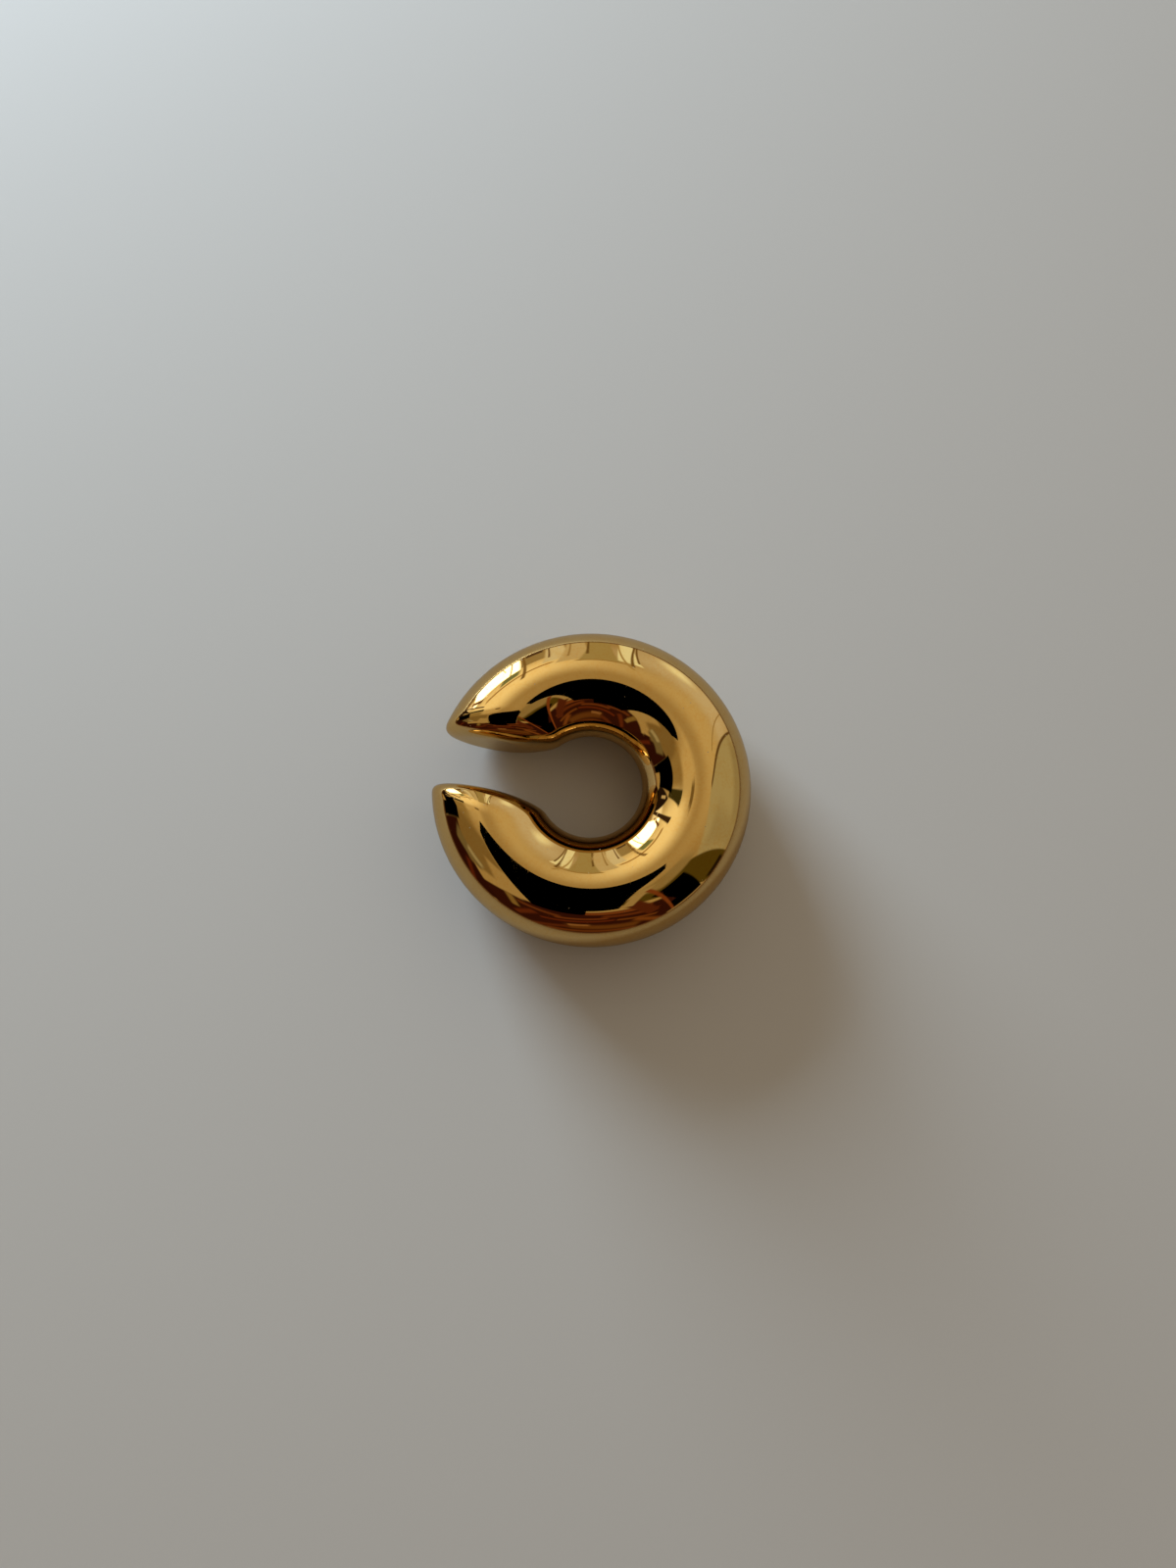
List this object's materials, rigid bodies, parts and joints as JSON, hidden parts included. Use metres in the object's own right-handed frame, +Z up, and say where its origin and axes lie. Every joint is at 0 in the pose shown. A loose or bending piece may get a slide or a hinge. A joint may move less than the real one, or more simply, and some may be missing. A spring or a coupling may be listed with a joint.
{
  "type": "ear cuff",
  "caption": "Chunky ear cuff: a thick ring of oval section, open at one side, with flat slot walls, rounded edges and a mirror-polished gold finish.",
  "frame": {"origin": "on the surface that the cuff lies on, below the middle of its bounding box", "axes": "+Z up along the hole's axis; the slot opens towards -X; +Y across the slot, from one slot wall to the other"},
  "size_m": [0.0198, 0.02, 0.0056],
  "materials": {
    "polished_gold": "mirror-polished gold plating"
  },
  "bodies": {
    "root": {"cuff_body": "polished_gold"}
  },
  "joints": []
}
